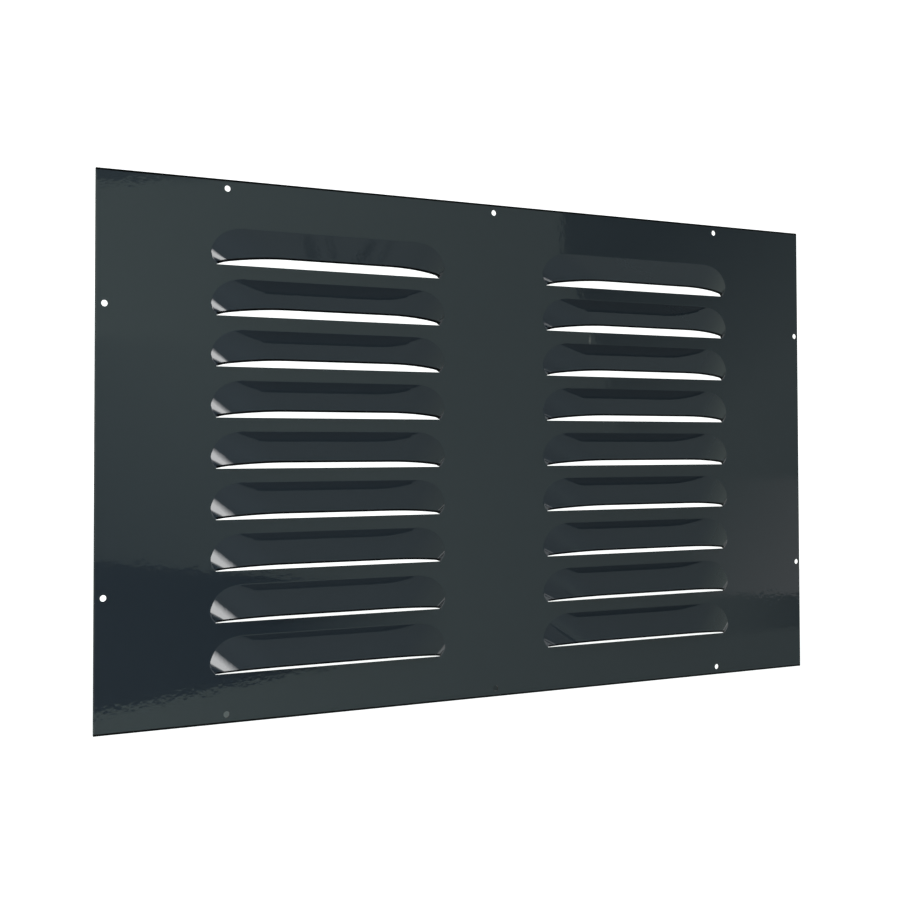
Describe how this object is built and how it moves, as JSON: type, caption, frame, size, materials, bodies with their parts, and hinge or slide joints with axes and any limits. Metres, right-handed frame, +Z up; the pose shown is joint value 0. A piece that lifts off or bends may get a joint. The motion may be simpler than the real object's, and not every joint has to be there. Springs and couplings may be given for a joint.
{
  "type": "louvred vent grille",
  "caption": "Flat rectangular sheet-metal vent grille with rows of pressed louvres that open downwards and screw holes round its edge, gloss dark grey.",
  "frame": {"origin": "centre of the flat back face, which lies against the wall or door", "axes": "+Z up with the louvres opening downwards, -Y out of the front, +X to the right seen from the front"},
  "size_m": [0.48, 0.012, 0.3],
  "materials": {
    "powder_coat": "gloss"
  },
  "bodies": {
    "root": {"louvred_panel": "powder_coat"}
  },
  "joints": []
}
